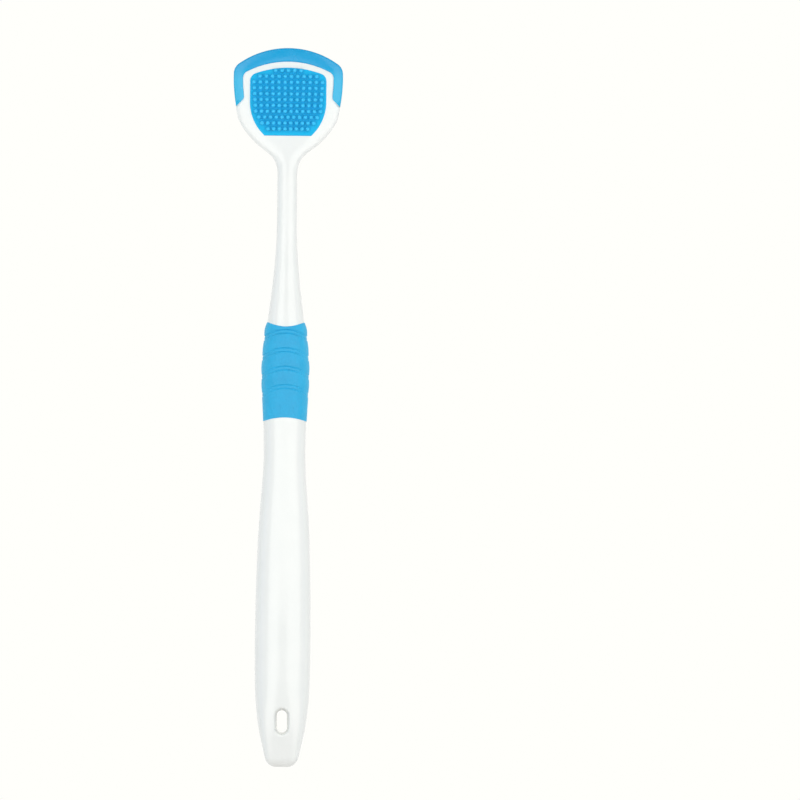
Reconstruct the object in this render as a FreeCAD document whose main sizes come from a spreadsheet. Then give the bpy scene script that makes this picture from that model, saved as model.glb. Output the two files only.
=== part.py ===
# Tongue scraper: a rigid white handle with three soft blue pieces moulded onto it.
# It lies on its back: nubs up (+Z), head towards +Y, width along X, sizes in millimetres.

import FreeCAD
import Part
import Sketcher
import math
import os
import re

sizes = {
    # lengths along the tool, from the tail to the tip of the head
    "handle_length": 92.4,
    "grip_length": 23.95,
    "neck_length": 40.15,
    "head_length": 33.5,
    # lower handle: width, thickness and rise of its underside above the table
    "tail_width": 7.75,
    "tail_thickness": 7.6,
    "tail_rise": 1.2,
    "tail_radius": 2.6,
    "tail_slope_length": 17.5,
    "tail_slope_height": 6.6,
    "slot_section_width": 12.8,
    "slot_section_thickness": 10.0,
    "slot_section_rise": 0.35,
    "flank_from_tail": 20.0,
    "flank_width": 14.35,
    "flank_thickness": 10.8,
    "flank_rise": 0.08,
    "belly_from_tail": 33.0,
    "belly_width": 14.7,
    "belly_thickness": 11.0,
    "shoulder_from_tail": 62.0,
    "shoulder_width": 13.5,
    "shoulder_thickness": 10.4,
    "shoulder_rise": 0.12,
    "waist_from_grip": 9.0,
    "waist_width": 11.0,
    "waist_thickness": 9.4,
    "waist_rise": 0.4,
    # hang slot through the tail
    "slot_from_tail": 11.8,
    "slot_length": 7.0,
    "slot_width": 3.1,
    "slot_edge_radius": 0.4,
    # handle at both ends of the sleeve
    "grip_low_width": 11.35,
    "grip_low_thickness": 9.5,
    "grip_low_rise": 0.45,
    "grip_high_width": 9.9,
    "grip_high_thickness": 8.45,
    "grip_high_rise": 0.7,
    # neck
    "taper_from_grip": 13.3,
    "taper_width": 6.8,
    "taper_thickness": 5.9,
    "taper_rise": 0.8,
    "neck_from_grip": 26.8,
    "neck_width": 5.25,
    "neck_thickness": 4.5,
    "neck_rise": 0.8,
    # head
    "head_width": 28.7,
    "head_thickness": 4.0,
    "back_flat_depth": 0.25,
    "widest_from_tip": 8.0,
    "side_radius": 40.0,
    "temple_drop": 6.0,
    "cheek_drop": 12.0,
    "jaw_from_base": 8.3,
    "jaw_width": 16.9,
    "jaw_thickness": 4.05,
    "jaw_rise": 0.1,
    "throat_from_base": 4.7,
    "throat_width": 8.1,
    "throat_thickness": 4.2,
    "throat_rise": 0.5,
    # soft lip round the head
    "lip_crown": 3.6,
    "lip_side": 2.35,
    "lip_arch_radius": 24.0,
    "lip_inner_radius": 23.5,
    "lip_corner_radius": 3.2,
    "lip_inner_corner": 2.0,
    "lip_length": 15.5,
    "lip_end_angle": 45.0,
    "lip_end_radius": 1.5,
    "lip_proud": 0.3,
    "lip_side_proud": 0.1,
    "lip_front_radius": 1.2,
    "lip_back_radius": 0.8,
    "lip_seam_radius": 0.25,
    "tongue_reach": 1.2,
    "tongue_thickness": 1.6,
    "tongue_height": 1.2,
    # nub pad in its seat
    "rim_side": 2.0,
    "rim_top": 1.8,
    "pad_from_base": 10.3,
    "pad_foot_width": 12.3,
    "pad_top_radius": 25.0,
    "pad_corner_radius": 2.0,
    "pad_cheek_radius": 12.0,
    "pad_seat_depth": 1.4,
    "pad_proud": 0.05,
    "nub_height": 1.3,
    "nub_base_radius": 0.52,
    "nub_tip_radius": 0.48,
    "nub_tip_chamfer": 0.2,
    "nub_first_row": 1.82,
    "nub_row_pitch": 1.52,
    "nub_pitch_low": 1.5,
    "nub_pitch_high": 1.68,
    # grip sleeve
    "sleeve_wall": 1.3,
    "sleeve_high_inset": 0.1,
    "sleeve_low_proud": 0.05,
    "sleeve_shoulder_from_high": 0.7,
    "sleeve_shoulder_width": 10.95,
    "sleeve_shoulder_thickness": 9.3,
    "sleeve_shoulder_rise": 0.5,
    "sleeve_neck_from_high": 3.1,
    "sleeve_neck_width": 11.5,
    "sleeve_neck_thickness": 9.8,
    "sleeve_neck_rise": 0.4,
    "sleeve_swell_from_high": 11.7,
    "sleeve_swell_width": 12.7,
    "sleeve_swell_thickness": 10.8,
    "sleeve_swell_rise": 0.15,
    "sleeve_high_edge_radius": 11.0,
    "sleeve_low_edge_radius": 16.0,
    "sleeve_rim_radius": 0.2,
    "groove_first": 0.75,
    "groove_pitch": 4.87,
    "groove_width": 0.95,
    "groove_depth": 0.22,
    "groove_arch_radius": 9.5,
}
groove_count = 4
nubs_per_row = [8, 10, 11, 12, 12, 12, 12, 12, 12, 10, 5]  # from the foot of the pad to its top
close = 1e-4  # nearer than this counts as touching
# roundness of the cross-sections: 0.707 is an ellipse, 1 a rectangle
shaft_square_ratio = 0.745
jaw_square_ratio = 0.8
head_square_ratio = 0.88

doc = FreeCAD.newDocument("tongue_scraper")
sheet = doc.addObject("Spreadsheet::Sheet", "sizes")
for row, (alias, size) in enumerate(sizes.items(), start=1):
    sheet.set(f"A{row}", alias)
    sheet.set(f"B{row}", str(size))
    sheet.setAlias(f"B{row}", alias)
doc.recompute()

# places along Y and heights, written in the sheet's words
tip = "(handle_length + grip_length + neck_length + head_length) / 2"
tail = f"(-{tip})"
grip_low = f"({tail} + handle_length)"
grip_high = f"({grip_low} + grip_length)"
head_base = f"({grip_high} + neck_length)"
widest = f"({tip} - widest_from_tip)"
side_centre = "(head_width / 2 - side_radius)"
pad_half_width = "(head_width / 2 - lip_side - rim_side)"
pad_top = f"({tip} - lip_crown - rim_top)"
pad_foot = f"({head_base} + pad_from_base)"
pad_face = "(head_thickness + pad_proud)"
lip_end = f"({tip} - lip_length)"
lip_outer_radius = "(side_radius + lip_side_proud)"
lip_end_x = f"({side_centre} + sqrt({lip_outer_radius}^2 - (lip_length - widest_from_tip)^2))"
outside = "(head_width / 2 + lip_side)"


def bound(text):
    return re.sub(r"[a-z_]+", lambda word: f"sizes.{word[0]}" if word[0] in sizes else word[0], text)


def number(text):
    return float(sheet.evalExpression(bound(text)))


# smooth oval bodies skinned through sections along Y

def slopes(places, values):
    # slope at each section, level at a crest or a waist so that no stretch swells past its ends
    rates = [(values[i + 1] - values[i]) / (places[i + 1] - places[i]) for i in range(len(places) - 1)]
    inner = []
    for i in range(1, len(places) - 1):
        before = places[i] - places[i - 1]
        after = places[i + 1] - places[i]
        mean = (rates[i - 1] * after + rates[i] * before) / (before + after)
        limit = 3 * min(abs(rates[i - 1]), abs(rates[i])) if rates[i - 1] * rates[i] > 0 else 0
        inner.append(math.copysign(min(abs(mean), limit), mean))
    return [rates[0]] + inner + [rates[-1]]


def pole_row(places, values):
    # control values of the cubic spans between the sections
    slope = slopes(places, values)
    row = [values[0]]
    for i in range(len(places) - 1):
        third = (places[i + 1] - places[i]) / 3
        row.append(values[i] + third * slope[i])
        row.append(values[i + 1] - third * slope[i + 1])
    return row + [values[-1]]


def skin(name, sections):
    # each section is a place, a width, a thickness, the rise of its underside and its squareness
    lines = [[*map(number, line[:4]), line[4]] for line in sections]
    places = [line[0] for line in lines]
    along = pole_row(places, places)
    poles = []
    for step in range(8):
        angle = step * math.pi / 4
        across = []
        up = []
        for _, width, depth, rise, squareness in lines:
            corner_pole = (6 * squareness - 1.5) / 3.5
            reach = corner_pole * math.sqrt(2) if step % 2 else (3 - corner_pole) / 2
            across.append(width / 2 * reach * math.cos(angle))
            up.append(rise + depth / 2 * (1 + reach * math.sin(angle)))
        poles.append([FreeCAD.Vector(x, y, z)
                      for x, y, z in zip(pole_row(places, across), along, pole_row(places, up))])
    surface = Part.BSplineSurface()
    ends = [4] + [2] * (len(places) - 2) + [4]
    surface.buildFromPolesMultsKnots(poles, [1] * 9, ends, [float(step) for step in range(9)], places,
                                     True, False, 3, 3)
    side = surface.toShape()
    caps = [Part.Face(Part.Wire(surface.vIso(place).toShape())) for place in (places[0], places[-1])]
    shell = Part.makeShell([side] + caps)
    shell.sewShape()
    solid = Part.makeSolid(shell)
    if solid.Volume < 0:
        solid.reverse()
    body = doc.addObject("Part::Feature", name)
    body.Shape = solid
    return body


def boolean(kind, name, base, tool):
    solid = doc.addObject(f"Part::{kind}", name)
    solid.Base = base
    solid.Tool = tool
    return solid


# sketches held by the sheet

def origin_part(body, role):
    return next(part for part in body.Origin.OriginFeatures if part.Role == role)


def sketch_on(body, name, role, offset="0"):
    sketch = body.newObject("Sketcher::SketchObject", name)
    sketch.AttachmentSupport = [(origin_part(body, role), "")]
    sketch.MapMode = "FlatFace"
    sketch.setExpression("AttachmentOffset.Base.z", bound(offset))
    return sketch


def drive(sketch, *where, by):
    index = sketch.addConstraint(Sketcher.Constraint(*where, number(by)))
    sketch.setExpression(f"Constraints[{index}]", bound(by))


def drive_point(sketch, edge, end, x, y):
    drive(sketch, "DistanceX", -1, 1, edge, end, by=x)
    drive(sketch, "DistanceY", -1, 1, edge, end, by=y)


def drive_circle(sketch, edge, x, y, radius):
    drive_point(sketch, edge, 3, x, y)
    drive(sketch, "Radius", edge, by=radius)


def drive_slope(sketch, edge, degrees):
    index = sketch.addConstraint(Sketcher.Constraint("Angle", edge, math.radians(number(degrees))))
    sketch.setExpression(f"Constraints[{index}]", f"({bound(degrees)}) * 1 deg")


def point(x, y):
    return FreeCAD.Vector(x, y, 0)


def mirrored(place):
    return point(-place.x, place.y)


def toward(start, end, distance):
    return start + (end - start).normalize() * distance


def line(start, end):
    return Part.LineSegment(start, end)


def arc(centre, start, end):
    # runs counterclockwise
    first = math.atan2(start.y - centre.y, start.x - centre.x)
    last = math.atan2(end.y - centre.y, end.x - centre.x)
    if last < first:
        last += 2 * math.pi
    circle = Part.Circle(centre, FreeCAD.Vector(0, 0, 1), (start - centre).Length)
    return Part.ArcOfCircle(circle, first, last)


def right_meeting(centre, radius, other, other_radius):
    # where two circles cross, on the side with the larger X
    across = other - centre
    along = (radius**2 - other_radius**2 + across.Length**2) / (2 * across.Length)
    foot = toward(centre, other, along)
    step = point(-across.y, across.x).normalize() * math.sqrt(radius**2 - along**2)
    return max(foot + step, foot - step, key=lambda place: place.x)


def ring(sketch, edges, sharp):
    # a closed ring of edges, tangent at each joint whose number isn't listed as sharp
    first = sketch.GeometryCount
    for edge in edges:
        sketch.addGeometry(edge, False)
    for here, edge in enumerate(edges):
        after = (here + 1) % len(edges)
        leaving = {1: edge.StartPoint, 2: edge.EndPoint}
        entering = {1: edges[after].StartPoint, 2: edges[after].EndPoint}
        pairs = [(a, b) for a in leaving for b in entering]
        a, b = min(pairs, key=lambda pair: (leaving[pair[0]] - entering[pair[1]]).Length)
        joint = "Coincident" if here in sharp else "Tangent"
        sketch.addConstraint(Sketcher.Constraint(joint, first + here, a, first + after, b))
    return first


def polygon(sketch, places):
    corners = [point(number(x), number(y)) for x, y in places]
    sides = [line(corners[i - 1], corners[i]) for i in range(len(corners))]
    first = ring(sketch, sides, sharp=range(len(sides)))
    for side, place in enumerate(places):
        drive_point(sketch, first + side, 2, *place)


def spine(sketch, start, end):
    # the line that a profile turns about
    places = [point(number(x), number(y)) for x, y in (start, end)]
    axis = sketch.addGeometry(line(*places), True)
    drive_point(sketch, axis, 1, *start)
    drive_point(sketch, axis, 2, *end)


# features of a body

def pad(body, name, sketch, length, both_ways=False):
    feature = body.newObject("PartDesign::Pad", name)
    feature.Profile = sketch
    feature.Midplane = both_ways
    feature.setExpression("Length", bound(length))
    doc.recompute()
    return feature


def cut_through(body, name, sketch, both_ways=False, upward=False):
    before = body.Shape.Volume
    feature = body.newObject("PartDesign::Pocket", name)
    feature.Profile = sketch
    feature.Type = "ThroughAll"
    feature.Midplane = both_ways
    feature.Reversed = upward
    doc.recompute()
    if body.Shape.Volume > before - close:
        raise RuntimeError(f"{name} cuts nothing")
    return feature


def turn(body, kind, name, sketch):
    feature = body.newObject(kind, name)
    feature.Profile = sketch
    feature.ReferenceAxis = (sketch, ["Axis0"])
    feature.Angle = 360
    doc.recompute()
    return feature


def fillet(body, name, radius, chosen):
    base = body.Tip
    edges = [f"Edge{i}" for i, edge in enumerate(base.Shape.Edges, start=1) if chosen(edge)]
    feature = body.newObject("PartDesign::Fillet", name)
    feature.Base = (base, edges)
    feature.setExpression("Radius", bound(radius))
    doc.recompute()


# outline of the lip's inner wall, moved out by reach, from its right end round to its left end

def lip_wall(reach, outer_x, outer_y):
    side = point(number(side_centre), number(widest))
    side_radius = number(f"side_radius - lip_side + {reach}")
    arch = point(0, number(f"{tip} - lip_crown - lip_inner_radius"))
    arch_radius = number(f"lip_inner_radius + {reach}")
    corner_radius = number(f"lip_inner_corner + {reach}")
    corner = right_meeting(arch, arch_radius - corner_radius, side, side_radius - corner_radius)
    slope = math.radians(number("lip_end_angle"))
    outward = point(math.cos(slope), -math.sin(slope))
    upward = point(math.sin(slope), math.cos(slope))
    outer = point(number(outer_x), number(outer_y))
    end_radius = number("lip_end_radius")
    lift = (outer - side).dot(upward) + end_radius
    run = math.sqrt((side_radius + end_radius)**2 - lift**2)
    knuckle = side + upward * lift + outward * run
    end_foot = knuckle - upward * end_radius
    end_top = toward(side, knuckle, side_radius)
    corner_foot = toward(side, corner, side_radius)
    corner_top = toward(arch, corner, arch_radius)
    right = [
        line(outer, end_foot),
        arc(knuckle, end_top, end_foot),
        arc(side, end_top, corner_foot),
        arc(corner, corner_foot, corner_top),
    ]
    left = [
        arc(mirrored(corner), mirrored(corner_top), mirrored(corner_foot)),
        arc(mirrored(side), mirrored(corner_foot), mirrored(end_top)),
        arc(mirrored(knuckle), mirrored(end_foot), mirrored(end_top)),
        line(mirrored(outer), mirrored(end_foot)),
    ]
    return right + [arc(arch, corner_top, mirrored(corner_top))] + left


def drive_lip_wall(sketch, first, reach):
    end, knuckle, side, corner, arch = range(first, first + 5)
    left_corner, left_side, left_knuckle, left_end = range(first + 5, first + 9)
    side_radius = f"side_radius - lip_side + {reach}"
    drive_circle(sketch, side, side_centre, widest, side_radius)
    drive_circle(sketch, left_side, f"-{side_centre}", widest, side_radius)
    drive_circle(sketch, arch, "0", f"{tip} - lip_crown - lip_inner_radius", f"lip_inner_radius + {reach}")
    for each in (corner, left_corner):
        drive(sketch, "Radius", each, by=f"lip_inner_corner + {reach}")
    for each in (knuckle, left_knuckle):
        drive(sketch, "Radius", each, by="lip_end_radius")
    drive_slope(sketch, end, "180 - lip_end_angle")
    drive_slope(sketch, left_end, "lip_end_angle")


def lip_clearing(body, name, height, reach):
    # all that lies outside the lip's inner wall and above its two ends
    sketch = sketch_on(body, name, "XY_Plane", height)
    far_y = f"{lip_end} - ({outside} - {lip_end_x}) * tan(lip_end_angle * 1 deg)"
    above = f"{tip} + lip_side"
    wall = lip_wall(reach, outside, far_y)
    right_foot = point(number(outside), number(far_y))
    right_top = point(number(outside), number(above))
    frame = [
        line(mirrored(right_foot), mirrored(right_top)),
        line(mirrored(right_top), right_top),
        line(right_top, right_foot),
    ]
    first = ring(sketch, wall + frame, sharp=(8, 9, 10, 11))
    drive_lip_wall(sketch, first, reach)
    drive_point(sketch, first, 1, outside, far_y)
    drive_point(sketch, first + 8, 1, f"-{outside}", far_y)
    drive_point(sketch, first + 10, 1, f"-{outside}", above)
    drive_point(sketch, first + 10, 2, outside, above)
    return sketch


def lip_outline(body, name):
    sketch = sketch_on(body, name, "XY_Plane")
    wall = lip_wall("0", lip_end_x, lip_end)
    side = point(number(side_centre), number(widest))
    side_radius = number(lip_outer_radius)
    arch_radius = number("lip_arch_radius")
    arch = point(0, number(f"{tip} - lip_arch_radius"))
    corner_radius = number("lip_corner_radius")
    corner = right_meeting(arch, arch_radius - corner_radius, side, side_radius - corner_radius)
    end = point(number(lip_end_x), number(lip_end))
    corner_foot = toward(side, corner, side_radius)
    corner_top = toward(arch, corner, arch_radius)
    outer = [
        arc(mirrored(side), mirrored(corner_foot), mirrored(end)),
        arc(mirrored(corner), mirrored(corner_top), mirrored(corner_foot)),
        arc(arch, corner_top, mirrored(corner_top)),
        arc(corner, corner_foot, corner_top),
        arc(side, end, corner_foot),
    ]
    first = ring(sketch, wall + outer, sharp=(8, 13))
    drive_lip_wall(sketch, first, "0")
    drive(sketch, "DistanceY", -1, 1, first, 1, by=lip_end)
    drive(sketch, "DistanceY", -1, 1, first + 8, 1, by=lip_end)
    drive_circle(sketch, first + 9, f"-{side_centre}", widest, lip_outer_radius)
    drive_circle(sketch, first + 11, "0", f"{tip} - lip_arch_radius", "lip_arch_radius")
    drive_circle(sketch, first + 13, side_centre, widest, lip_outer_radius)
    for each in (first + 10, first + 12):
        drive(sketch, "Radius", each, by="lip_corner_radius")
    return sketch


def pad_outline(body, name, height):
    sketch = sketch_on(body, name, "XY_Plane", height)
    half = number(pad_half_width)
    top_radius = number("pad_top_radius")
    corner_radius = number("pad_corner_radius")
    cheek_radius = number("pad_cheek_radius")
    foot = point(number("pad_foot_width / 2"), number(pad_foot))
    arch = point(0, number(f"{pad_top} - pad_top_radius"))
    corner_x = half - corner_radius
    corner = point(corner_x, arch.y + math.sqrt((top_radius - corner_radius)**2 - corner_x**2))
    cheek_x = half - cheek_radius
    cheek = point(cheek_x, foot.y + math.sqrt(cheek_radius**2 - (foot.x - cheek_x)**2))
    corner_top = toward(arch, corner, top_radius)
    side_top = point(half, corner.y)
    side_foot = point(half, cheek.y)
    edges = [
        arc(arch, corner_top, mirrored(corner_top)),
        arc(mirrored(corner), mirrored(corner_top), mirrored(side_top)),
        line(mirrored(side_top), mirrored(side_foot)),
        arc(mirrored(cheek), mirrored(side_foot), mirrored(foot)),
        line(mirrored(foot), foot),
        arc(cheek, foot, side_foot),
        line(side_foot, side_top),
        arc(corner, side_top, corner_top),
    ]
    first = ring(sketch, edges, sharp=(3, 4))
    drive_circle(sketch, first, "0", f"{pad_top} - pad_top_radius", "pad_top_radius")
    for corner_edge, side_edge, cheek_edge, end, sign in ((1, 2, 3, 1, "-"), (7, 6, 5, 2, "")):
        drive(sketch, "Radius", first + corner_edge, by="pad_corner_radius")
        sketch.addConstraint(Sketcher.Constraint("Vertical", first + side_edge))
        drive(sketch, "DistanceX", -1, 1, first + side_edge, 1, by=f"{sign}{pad_half_width}")
        drive(sketch, "Radius", first + cheek_edge, by="pad_cheek_radius")
        drive_point(sketch, first + 4, end, f"{sign}pad_foot_width / 2", pad_foot)
    return sketch


def arched_band(sketch, high, high_radius, low, low_radius, half_width):
    # a band across the tool: a positive radius arches towards the head, a negative one towards the tail
    half = number(half_width)
    edges = []
    for place, radius in ((high, high_radius), (low, low_radius)):
        crown = number(place)
        bend = number(radius)
        centre = point(0, crown - bend)
        end = point(half, centre.y + math.copysign(math.sqrt(bend**2 - half**2), bend))
        edges.append(arc(centre, end, mirrored(end)) if bend > 0 else arc(centre, mirrored(end), end))
        edges.append(end)
    top, top_end, bottom, bottom_end = edges
    sides = [line(mirrored(top_end), mirrored(bottom_end)), line(bottom_end, top_end)]
    first = ring(sketch, [top, sides[0], bottom, sides[1]], sharp=(0, 1, 2, 3))
    drive_circle(sketch, first, "0", f"{high} - ({high_radius})", f"abs({high_radius})")
    drive_circle(sketch, first + 2, "0", f"{low} - ({low_radius})", f"abs({low_radius})")
    for side, sign in ((first + 1, "-"), (first + 3, "")):
        drive(sketch, "DistanceX", -1, 1, side, 1, by=f"{sign}{half_width}")
        sketch.addConstraint(Sketcher.Constraint("Vertical", side))


# blanks skinned for the handle and the sleeve

def section(place, part, squareness=shaft_square_ratio):
    return place, f"{part}_width", f"{part}_thickness", f"{part}_rise", squareness


def head_section(place, distance="0"):
    # a section of the head at a distance from its widest line, where its sides have arced inwards
    inset = f"(side_radius - sqrt(side_radius^2 - ({distance})^2))"
    return (place, f"head_width - 2 * {inset}", "head_thickness + back_flat_depth", "-back_flat_depth",
            head_square_ratio)


def shaft_blank():
    return skin("shaft_blank", [
        section(tail, "tail"),
        section(f"{tail} + slot_from_tail", "slot_section"),
        section(f"{tail} + flank_from_tail", "flank"),
        (f"{tail} + belly_from_tail", "belly_width", "belly_thickness", "0", shaft_square_ratio),
        section(f"{tail} + shoulder_from_tail", "shoulder"),
        section(f"{grip_low} - waist_from_grip", "waist"),
        section(grip_low, "grip_low"),
        section(grip_high, "grip_high"),
        section(f"{grip_high} + taper_from_grip", "taper"),
        section(f"{grip_high} + neck_from_grip", "neck"),
        section(head_base, "neck"),
        section(f"{head_base} + throat_from_base", "throat"),
        section(f"{head_base} + jaw_from_base", "jaw", jaw_square_ratio),
        head_section(f"{widest} - cheek_drop", "cheek_drop"),
        head_section(f"{widest} - temple_drop", "temple_drop"),
        head_section(widest),
        head_section(f"{tip} + lip_side"),
    ])


def inset_section(place, part, inset):
    # a section of a part shrunk all round by an inset
    return (place, f"{part}_width - 2 * ({inset})", f"{part}_thickness - 2 * ({inset})",
            f"{part}_rise + ({inset})", shaft_square_ratio)


def core_blank():
    return skin("core_blank", [
        inset_section(f"{grip_low} - sleeve_wall", "grip_low", "sleeve_wall"),
        inset_section(f"{grip_high} + sleeve_wall", "grip_high", "sleeve_wall"),
    ])


def sleeve_blank(name, inset):
    # the sleeve's outer form, or the same form shrunk by an inset
    return skin(name, [
        inset_section(f"{grip_low} - sleeve_wall", "grip_low", f"{inset} - sleeve_low_proud"),
        inset_section(f"{grip_high} - sleeve_swell_from_high", "sleeve_swell", inset),
        inset_section(f"{grip_high} - sleeve_neck_from_high", "sleeve_neck", inset),
        inset_section(f"{grip_high} - sleeve_shoulder_from_high", "sleeve_shoulder", inset),
        inset_section(f"{grip_high} + sleeve_wall", "grip_high", f"{inset} + sleeve_high_inset"),
    ])


sleeve_half = "(sleeve_swell_width / 2 + sleeve_wall)"
sleeve_height = "(2 * (sleeve_swell_thickness + sleeve_swell_rise + sleeve_wall))"


def sleeve_zone():
    body = doc.addObject("PartDesign::Body", "sleeve_zone")
    sketch = sketch_on(body, "sleeve_zone_outline", "XY_Plane")
    arched_band(sketch, grip_high, "-sleeve_high_edge_radius", grip_low, "sleeve_low_edge_radius",
                sleeve_half)
    pad(body, "sleeve_zone_pad", sketch, sleeve_height, both_ways=True)
    return body


def groove_bands():
    body = doc.addObject("PartDesign::Body", "groove_bands")
    sketch = sketch_on(body, "groove_outlines", "XY_Plane")
    for groove in range(groove_count):
        high = f"({grip_high} - groove_first - {groove} * groove_pitch)"
        arched_band(sketch, high, "groove_arch_radius + groove_width / 2", f"({high} - groove_width)",
                    "groove_arch_radius - groove_width / 2", sleeve_half)
    pad(body, "groove_bands_pad", sketch, sleeve_height, both_ways=True)
    return body


def handle(shaft, grip_seat):
    seated = boolean("Cut", "shaft_with_grip_seat", shaft, grip_seat)
    doc.recompute()
    body = doc.addObject("PartDesign::Body", "handle")
    body.BaseFeature = seated
    doc.recompute()

    # flat back of the head, on the table
    back = sketch_on(body, "back_flat", "XY_Plane")
    above = f"{tip} + 2 * lip_side"
    inside = f"-{outside}"
    polygon(back, [(inside, head_base), (outside, head_base), (outside, above), (inside, above)])
    cut_through(body, "back_flat_cut", back)

    # rebates above and below the tongue that the lip grips
    cut_through(body, "lip_rebate_front",
                lip_clearing(body, "lip_front", "tongue_height + tongue_thickness", "0"), upward=True)
    cut_through(body, "lip_rebate_back", lip_clearing(body, "lip_back", "tongue_height", "0"))
    cut_through(body, "tongue_edge",
                lip_clearing(body, "tongue_outline", "0", "tongue_reach"), both_ways=True)

    # seat of the nub pad
    seat = pad_outline(body, "pad_seat_outline", "head_thickness - pad_seat_depth")
    cut_through(body, "pad_seat", seat, upward=True)

    # sloping upper face of the tail
    slope = sketch_on(body, "tail_slope_outline", "YZ_Plane")
    start = f"{tail} + tail_slope_length"
    top = "belly_thickness"
    above = "(2 * belly_thickness)"
    polygon(slope, [(tail, "tail_slope_height"), (start, top), (start, above), (tail, above)])
    cut_through(body, "tail_slope", slope, both_ways=True)
    at_tail = number(tail)
    fillet(body, "tail_end", "tail_radius", lambda edge: edge.BoundBox.YMax < at_tail + close)

    # hang slot
    slot = sketch_on(body, "hang_slot_outline", "XY_Plane")
    middle = f"({tail} + slot_from_tail)"
    half_run = "((slot_length - slot_width) / 2)"
    radius = number("slot_width / 2")
    high = point(0, number(f"{middle} + {half_run}"))
    low = point(0, number(f"{middle} - {half_run}"))
    aside = point(radius, 0)
    edges = [arc(high, high + aside, high - aside), line(high - aside, low - aside),
             arc(low, low - aside, low + aside), line(low + aside, high + aside)]
    first = ring(slot, edges, sharp=())
    drive_circle(slot, first, "0", f"{middle} + {half_run}", "slot_width / 2")
    drive_circle(slot, first + 2, "0", f"{middle} - {half_run}", "slot_width / 2")
    cut_through(body, "hang_slot", slot, both_ways=True)
    mouth = FreeCAD.BoundBox(-radius, number(middle) - number("slot_length / 2"), 0,
                             radius, number(middle) + number("slot_length / 2"), number(above))
    mouth.enlarge(close)

    def at_mouth(edge):
        box = edge.BoundBox
        return mouth.isInside(box) and box.XLength + box.YLength > radius
    fillet(body, "slot_mouths", "slot_edge_radius", at_mouth)
    return body


def scraper_lip(rigid):
    body = doc.addObject("PartDesign::Body", "lip_blank")
    thickness = "(head_thickness + lip_proud)"
    pad(body, "lip_pad", lip_outline(body, "lip_outline"), thickness)

    # rounded edges: the scraping rim in front and at the back, then the seam along the handle
    def arc_at(height, radius):
        def chosen(edge):
            box = edge.BoundBox
            level = max(abs(box.ZMin - height), abs(box.ZMax - height)) < close
            round_edge = edge.Curve.TypeId == "Part::GeomCircle"
            return level and round_edge and abs(edge.Curve.Radius - radius) < close
        return chosen
    face = number(thickness)
    rim = number("lip_arch_radius")
    seam = number("lip_inner_radius")
    fillet(body, "lip_front_rim", "lip_front_radius", arc_at(face, rim))
    fillet(body, "lip_back_rim", "lip_back_radius", arc_at(0, rim))
    fillet(body, "lip_seam", "lip_seam_radius", arc_at(face, seam))
    return boolean("Cut", "scraper_lip", body, rigid)


def nub_pad():
    body = doc.addObject("PartDesign::Body", "nub_pad")
    outline = pad_outline(body, "pad_outline", "head_thickness - pad_seat_depth")
    base = pad(body, "pad_base", outline, "pad_seat_depth + pad_proud")
    top_z = number(pad_face)
    top = next(face for face in base.Shape.Faces if abs(face.CenterOfMass.z - top_z) < close)
    room = Part.Face(top.OuterWire).makeOffset2D(-number("nub_base_radius"))
    for row, count in enumerate(nubs_per_row):
        y = f"({pad_foot} + nub_first_row + {row} * nub_row_pitch)"
        pitch = f"(nub_pitch_low + (nub_pitch_high - nub_pitch_low) * {row} / {len(nubs_per_row) - 1})"

        step = number(pitch)
        # a narrower pad holds fewer nubs
        while count > 1 and not room.isInside(
                FreeCAD.Vector((count - 1) / 2 * step, number(y), top_z), close, True):
            count -= 1
        if count > 1:
            nub_row(body, row, y, pitch, count)
    return body


def nub_row(body, row, y, pitch, count):
    sketch = sketch_on(body, f"nub_{row}_profile", "XZ_Plane", f"-{y}")
    x = f"(-({count} - 1) / 2 * {pitch})"
    root = "(head_thickness - pad_seat_depth / 2)"
    tip_z = f"({pad_face} + nub_height)"
    places = [
        (x, root),
        (f"{x} + nub_base_radius", root),
        (f"{x} + nub_tip_radius", f"{tip_z} - nub_tip_chamfer"),
        (f"{x} + nub_tip_radius - nub_tip_chamfer", tip_z),
        (x, tip_z),
    ]
    polygon(sketch, places)
    spine(sketch, places[0], places[-1])
    nub = turn(body, "PartDesign::Revolution", f"nub_{row}", sketch)
    line_up = body.newObject("PartDesign::LinearPattern", f"nub_{row}_line")
    line_up.Originals = [nub]
    line_up.Direction = (origin_part(body, "X_Axis"), [""])
    line_up.Occurrences = count
    line_up.setExpression("Length", bound(f"({count} - 1) * {pitch}"))
    body.Tip = line_up
    doc.recompute()


def grip_sleeve(shell):
    doc.recompute()
    body = doc.addObject("PartDesign::Body", "grip_sleeve")
    body.BaseFeature = shell
    doc.recompute()

    # rounded rim where the sleeve stands proud of the neck
    edge_radius = number("sleeve_high_edge_radius")
    ends = [face for face in body.Tip.Shape.Faces if face.Surface.TypeId == "Part::GeomCylinder"
            and abs(face.Surface.Radius - edge_radius) < close]
    rims = [max(face.Edges, key=lambda edge: edge.BoundBox.XLength) for face in ends]
    fillet(body, "sleeve_rim", "sleeve_rim_radius", lambda edge: any(edge.isSame(rim) for rim in rims))
    return body


shaft = shaft_blank()
core = core_blank()
zone = sleeve_zone()
seat_ring = boolean("Cut", "grip_seat", zone, core)
doc.recompute()
rigid = handle(shaft, seat_ring)
lip = scraper_lip(rigid)
nubs = nub_pad()

sleeve_form = boolean("Common", "sleeve_form", sleeve_blank("sleeve_blank", "0"), zone)
groove_tool = boolean("Cut", "groove_tool", groove_bands(), sleeve_blank("groove_floor", "groove_depth"))
sleeve_grooved = boolean("Cut", "sleeve_grooved", sleeve_form, groove_tool)
sleeve = grip_sleeve(boolean("Cut", "sleeve_shell", sleeve_grooved, core))
doc.recompute()

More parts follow.
